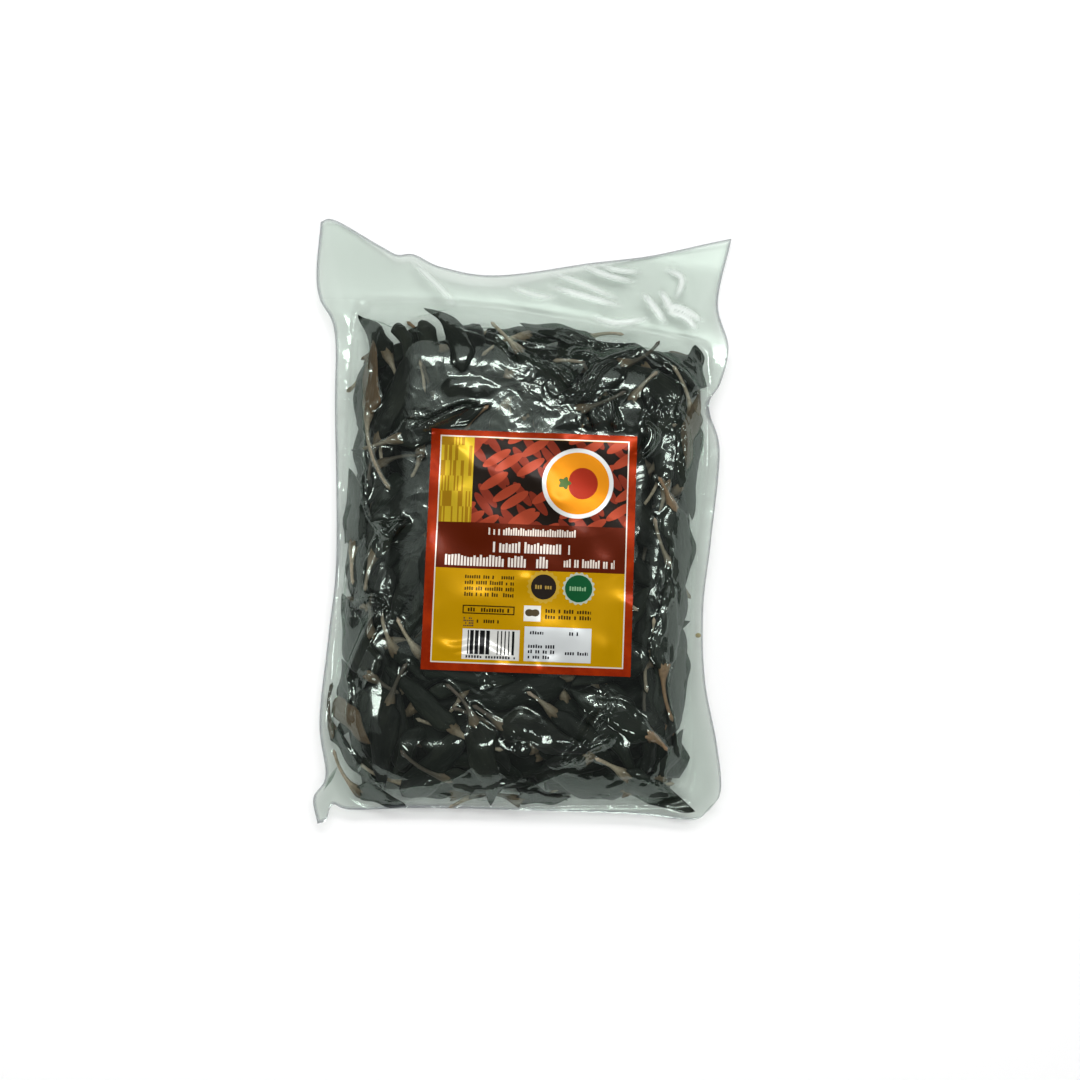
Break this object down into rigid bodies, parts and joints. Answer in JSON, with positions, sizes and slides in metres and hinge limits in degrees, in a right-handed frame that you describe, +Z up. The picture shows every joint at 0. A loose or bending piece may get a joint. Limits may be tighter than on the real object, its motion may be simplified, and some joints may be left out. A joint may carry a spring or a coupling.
{
  "type": "bag of dried chillies",
  "caption": "Clear sealed film bag packed with whole dried chillies, lying on its back with a printed label on its front.",
  "frame": {"origin": "the middle of the bag in plan, on the surface that it lies on", "axes": "+X across the bag's width, +Y towards its top seal, +Z up from the surface, out of the label"},
  "size_m": [0.254, 0.367, 0.0571],
  "materials": {
    "filled_bag": "dark chillies seen through glossy clear film",
    "printed_label": "glossy laminated paper, gold, brown and red-brown fields",
    "clear_film": "thin clear film, faintly grey-green, glossy and creased",
    "chilli_skin": "nearly black dried skin, leathery sheen, creased",
    "brown_skin": "brown dried skin, dull sheen",
    "stalk": "dry, pale brown stalk and cap, ridged",
    "seed": "pale straw seed"
  },
  "bodies": {
    "root": {"bag": "filled_bag", "label": "printed_label"}
  },
  "joints": []
}
